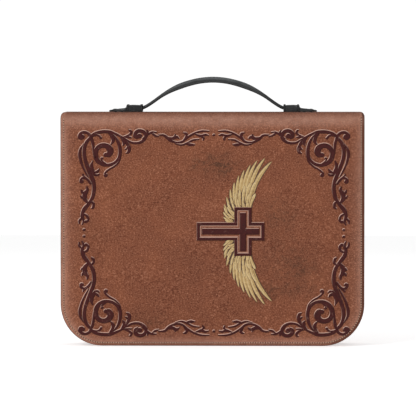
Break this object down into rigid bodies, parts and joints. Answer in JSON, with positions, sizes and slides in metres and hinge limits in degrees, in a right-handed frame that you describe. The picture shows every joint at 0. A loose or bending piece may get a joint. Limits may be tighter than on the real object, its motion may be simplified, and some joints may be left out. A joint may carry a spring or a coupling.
{
  "type": "zip-round bible cover with its bible",
  "caption": "Soft brown leather zip-round Bible cover with scroll, cross and wing decoration, a strap handle on its spine, and a hardback Bible held inside by two sleeves.",
  "frame": {"origin": "middle of the fore-edge, at the bottom of the cover as it stands with its spine up", "axes": "+X along the spine, to the right when looking at the front cover; +Y from the front cover to the back cover; +Z from the fore-edge up to the spine and its handle"},
  "size_m": [0.29, 0.052, 0.2569],
  "materials": {
    "brown_leather": "matt embossed leather",
    "black_fabric": "woven polyester",
    "greyboard": "plain board",
    "black_plastic": "satin moulded",
    "black_metal": "black lacquer",
    "steel": "plain",
    "book_cover": "fine-grained imitation leather",
    "paper": "thin book paper",
    "ribbon": "satin ribbon"
  },
  "bodies": {
    "spine": {"spine_leather": "brown_leather", "spine_stiffener": "greyboard", "spine_lining": "black_fabric", "spine_end_tab_left": "brown_leather", "spine_end_tab_right": "brown_leather", "handle_anchor_left": "black_plastic", "handle_anchor_right": "black_plastic", "handle_backing_left": "steel", "handle_backing_right": "steel", "handle_rivet_1": "steel", "handle_rivet_2": "steel", "handle_rivet_3": "steel", "handle_rivet_4": "steel", "bible_spine": "book_cover", "bible_headband_left": "ribbon", "bible_headband_right": "ribbon"},
    "front_cover": {"front_leather": "brown_leather", "front_stiffener": "greyboard", "front_lining": "black_fabric", "front_gusset": "brown_leather", "front_zipper_tape": "black_fabric", "front_zipper_teeth": "black_plastic", "front_zipper_stop_left": "black_metal", "front_zipper_stop_right": "black_metal", "front_sleeve": "black_fabric", "bible_front_board": "book_cover", "bible_front_pages": "paper"},
    "back_cover": {"back_leather": "brown_leather", "back_stiffener": "greyboard", "back_lining": "black_fabric", "back_gusset": "brown_leather", "back_zipper_tape": "black_fabric", "back_zipper_teeth": "black_plastic", "back_zipper_stop_left": "black_metal", "back_zipper_stop_right": "black_metal", "back_sleeve": "black_fabric", "bible_back_board": "book_cover", "bible_back_pages": "paper", "ribbon_marker": "ribbon"},
    "zipper_slider": {"zipper_slider": "black_metal"},
    "zipper_pull": {"zipper_pull": "black_metal"},
    "strap_left_end": {"strap_left_end": "black_plastic"},
    "strap_left_leg": {"strap_left_leg": "black_plastic"},
    "strap_left_grip": {"strap_left_grip": "black_plastic"},
    "strap_right_grip": {"strap_right_grip": "black_plastic"},
    "strap_right_leg": {"strap_right_leg": "black_plastic"},
    "strap_right_end": {"strap_right_end": "black_plastic"}
  },
  "joints": [
    {"name": "front_cover_hinge", "type": "hinge", "parent": "spine", "child": "front_cover", "pos_m": [0, -0.026, 0.223], "axis": [-1, 0, 0], "range_deg": [0, 90]},
    {"name": "back_cover_hinge", "type": "hinge", "parent": "spine", "child": "back_cover", "pos_m": [0, 0.026, 0.223], "axis": [1, 0, 0], "range_deg": [0, 90]},
    {"name": "slider_run", "type": "slide", "parent": "back_cover", "child": "zipper_slider", "axis": [0, 0, -1], "range_m": [0, 0.125]},
    {"name": "pull_hinge", "type": "hinge", "parent": "zipper_slider", "child": "zipper_pull", "pos_m": [-0.14205, 0, 0.2008], "axis": [0, 1, 0], "range_deg": [0, 115]},
    {"name": "strap_left_slide", "type": "slide", "parent": "spine", "child": "strap_left_end", "axis": [-1, 0, 0], "range_m": [0, 0.0084]},
    {"name": "handle_flatten", "type": "hinge", "parent": "strap_left_end", "child": "strap_left_leg", "pos_m": [-0.06645, 0, 0.2259], "axis": [0, 1, 0], "range_deg": [0, 30], "stiffness_Nm_per_rad": 0.25},
    {"name": "strap_left_bend", "type": "hinge", "parent": "strap_left_leg", "child": "strap_left_grip", "pos_m": [-0.03813, 0, 0.24647], "axis": [0, 1, 0], "range_deg": [-18, 0]},
    {"name": "strap_crown_bend", "type": "hinge", "parent": "strap_left_grip", "child": "strap_right_grip", "pos_m": [0, 0, 0.25598], "axis": [0, 1, 0], "range_deg": [-24, 0]},
    {"name": "strap_right_bend", "type": "hinge", "parent": "strap_right_grip", "child": "strap_right_leg", "pos_m": [0.03813, 0, 0.24647], "axis": [0, 1, 0], "range_deg": [-18, 0]},
    {"name": "strap_right_foot", "type": "hinge", "parent": "strap_right_leg", "child": "strap_right_end", "pos_m": [0.06645, 0, 0.2259], "axis": [0, 1, 0], "range_deg": [0, 30]}
  ],
  "couplings": [
    {"joint": "strap_left_slide", "follows": "handle_flatten", "m_per_rad": 0.01585},
    {"joint": "strap_left_bend", "follows": "handle_flatten", "ratio": -0.6},
    {"joint": "strap_crown_bend", "follows": "handle_flatten", "ratio": -0.8},
    {"joint": "strap_right_bend", "follows": "handle_flatten", "ratio": -0.6},
    {"joint": "strap_right_foot", "follows": "handle_flatten", "ratio": 1}
  ]
}
